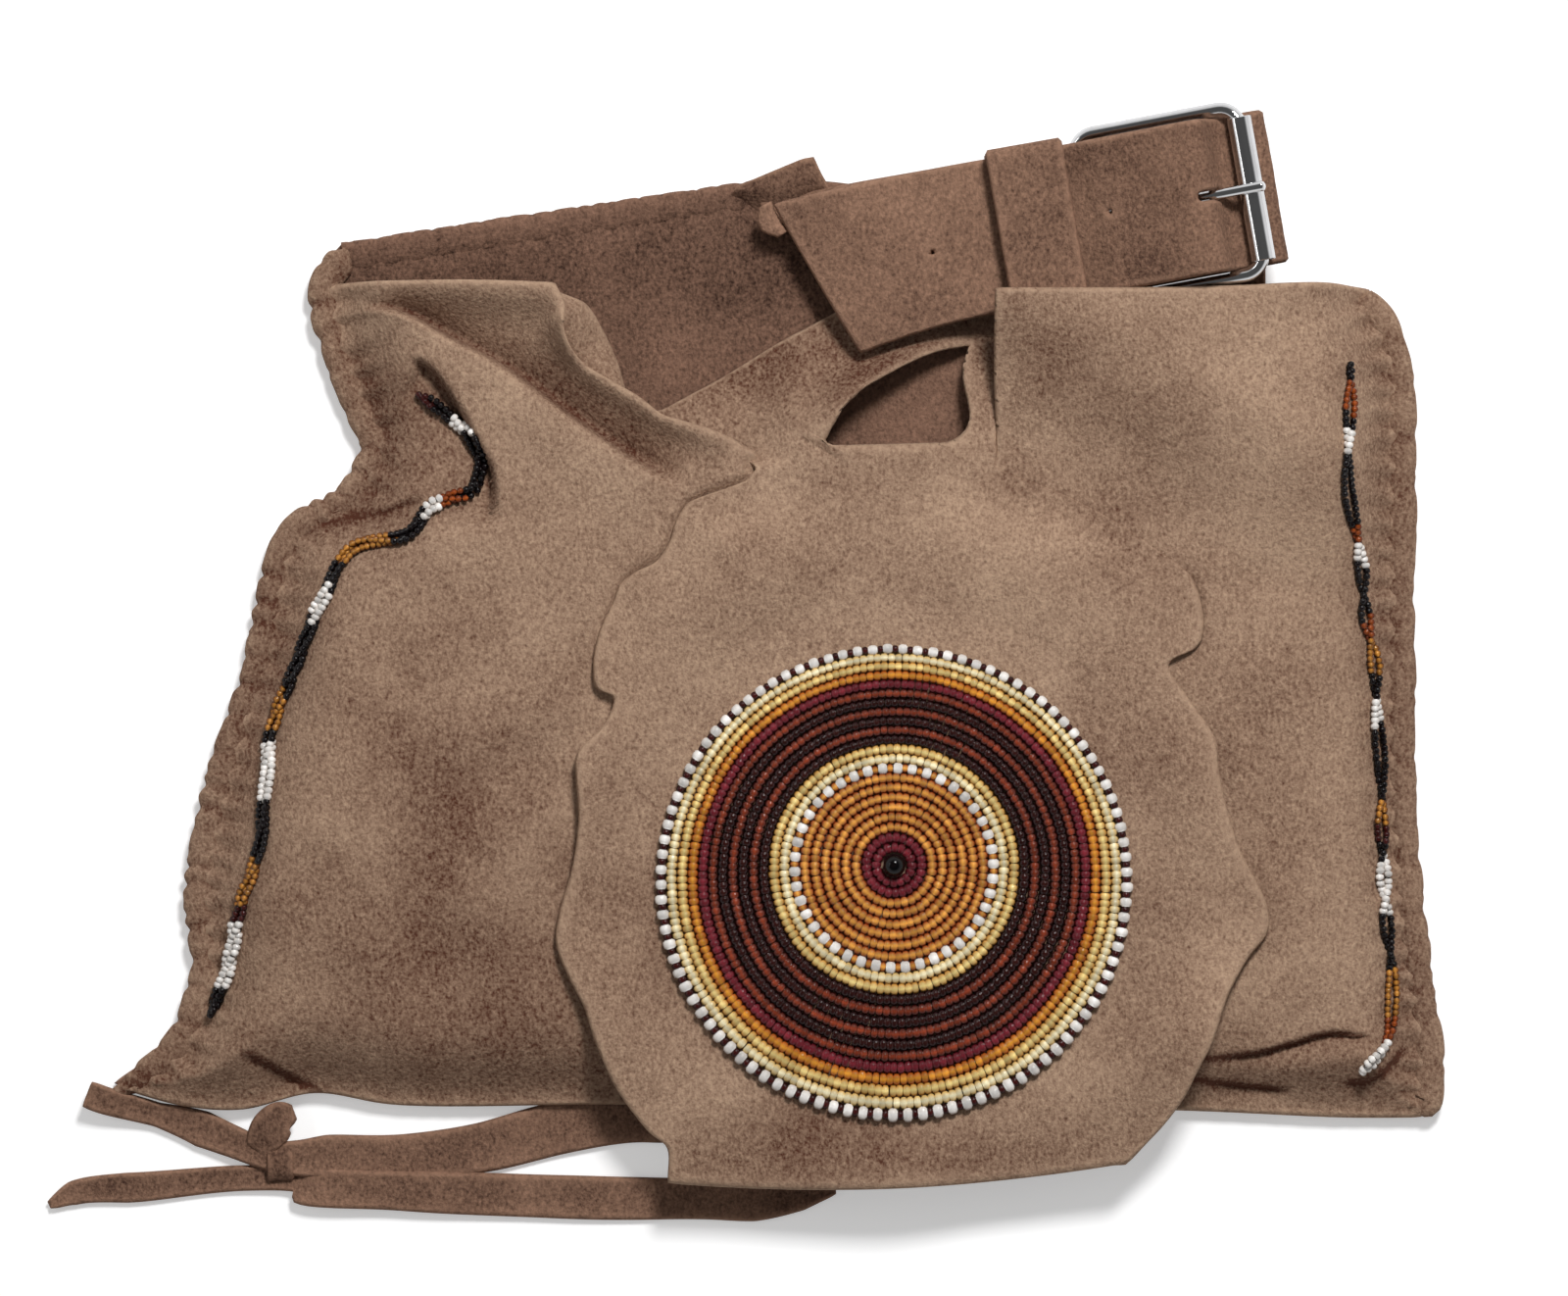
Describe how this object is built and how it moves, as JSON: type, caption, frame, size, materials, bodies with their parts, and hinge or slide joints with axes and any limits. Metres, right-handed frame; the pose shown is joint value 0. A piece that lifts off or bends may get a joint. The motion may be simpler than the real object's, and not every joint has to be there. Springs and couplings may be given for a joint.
{
  "type": "suede crossbody bag",
  "caption": "Soft suede crossbody bag with a scalloped flap, a beaded rosette, bead strings, a buckled strap and suede ties.",
  "frame": {"origin": "underside of the back panel, below the middle of the bead rosette", "axes": "+Z out of the bag's front, +X to the viewer's right, +Y from the bottom seam towards the mouth"},
  "size_m": [0.2928, 0.2347, 0.026],
  "materials": {
    "bag_suede": "napped suede",
    "strap_suede": "napped suede",
    "buckle_metal": "polished plating",
    "bead_black": "opaque glossy glass",
    "bead_wine": "opaque glossy glass",
    "bead_amber": "opaque glossy glass",
    "bead_white": "opaque glossy glass",
    "bead_gold": "opaque glossy glass",
    "bead_brown": "opaque glossy glass"
  },
  "bodies": {
    "root": {"back_panel": "bag_suede", "back_hem": "bag_suede", "seam_left": "bag_suede", "seam_bottom": "bag_suede", "seam_right": "bag_suede", "front_panel": "bag_suede", "flap": "bag_suede", "rosette_center_bead": "bead_black", "rosette_ring_01": "bead_wine", "rosette_ring_02": "bead_wine", "rosette_ring_03": "bead_amber", "rosette_ring_04": "bead_amber", "rosette_ring_05": "bead_amber", "rosette_ring_06": "bead_amber", "rosette_ring_07": "bead_amber", "rosette_ring_08": "bead_amber", "rosette_ring_09": "bead_white", "rosette_ring_10": "bead_gold", "rosette_ring_11": "bead_gold", "rosette_ring_12": "bead_brown", "rosette_ring_13": "bead_brown", "rosette_ring_14": "bead_brown", "rosette_ring_15": "bead_brown", "rosette_ring_16": "bead_brown", "rosette_ring_17": "bead_brown", "rosette_ring_18": "bead_wine", "rosette_ring_19": "bead_amber", "rosette_ring_20": "bead_gold", "rosette_ring_21": "bead_gold", "rosette_ring_22": "bead_white", "bead_string_left": "bead_amber", "bead_string_right": "bead_amber", "strap_buckle_half": "strap_suede", "strap_tip_half": "strap_suede", "strap_folded_length": "strap_suede", "thong_corner": "strap_suede", "thong_right_tail": "strap_suede", "thong_flap_side": "strap_suede", "thong_left_tail": "strap_suede", "thong_knot": "strap_suede"},
    "frame": {"buckle_frame": "buckle_metal"},
    "prong": {"buckle_prong": "buckle_metal"},
    "roller": {"buckle_roller": "buckle_metal"},
    "keeper": {"strap_keeper": "strap_suede"}
  },
  "joints": [
    {"name": "frame_tilt", "type": "hinge", "parent": "root", "child": "frame", "pos_m": [0.0402, 0.1348, 0.0105], "axis": [0.1736, -0.9848, 0], "range_deg": [0, 1.2]},
    {"name": "prong_pivot", "type": "hinge", "parent": "frame", "child": "prong", "pos_m": [0.0402, 0.1348, 0.0105], "axis": [0.1736, -0.9848, 0], "range_deg": [0, 3]},
    {"name": "roller_spin", "type": "hinge", "parent": "frame", "child": "roller", "pos_m": [0.07427, 0.14081, 0.02042], "axis": [-0.1736, 0.9848, 0], "continuous": true},
    {"name": "keeper_slide", "type": "slide", "parent": "root", "child": "keeper", "axis": [0.9848, 0.1736, 0], "range_m": [-0.008, 0.001]}
  ]
}
